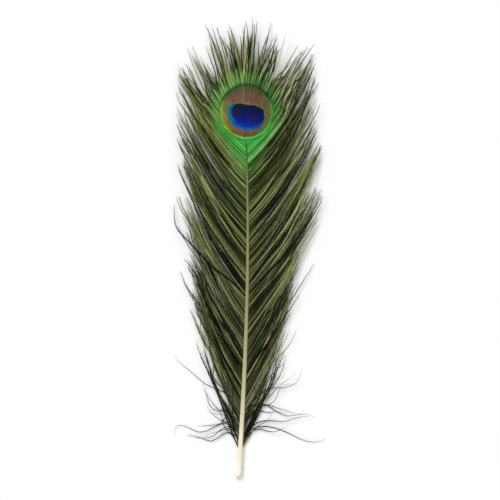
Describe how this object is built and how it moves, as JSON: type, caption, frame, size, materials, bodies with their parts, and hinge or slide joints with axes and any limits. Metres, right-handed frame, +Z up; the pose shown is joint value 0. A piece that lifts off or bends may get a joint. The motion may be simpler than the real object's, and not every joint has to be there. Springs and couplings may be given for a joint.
{
  "type": "peacock feather",
  "caption": "Eye end of a peacock train feather, cut short and lying face up: a tapering pale shaft with loose green barbs and a blue and bronze eye.",
  "frame": {"origin": "the middle of the feather's box, on the surface it lies on", "axes": "+Y along the feather from the cut end of the quill to the crown above the eye, +Z up from the surface, out of the feather's front face"},
  "size_m": [0.0794, 0.2528, 0.008],
  "materials": {
    "barbs": "satin",
    "eye": "satin",
    "shaft": "satin"
  },
  "bodies": {
    "root": {"feather": "barbs"}
  },
  "joints": []
}
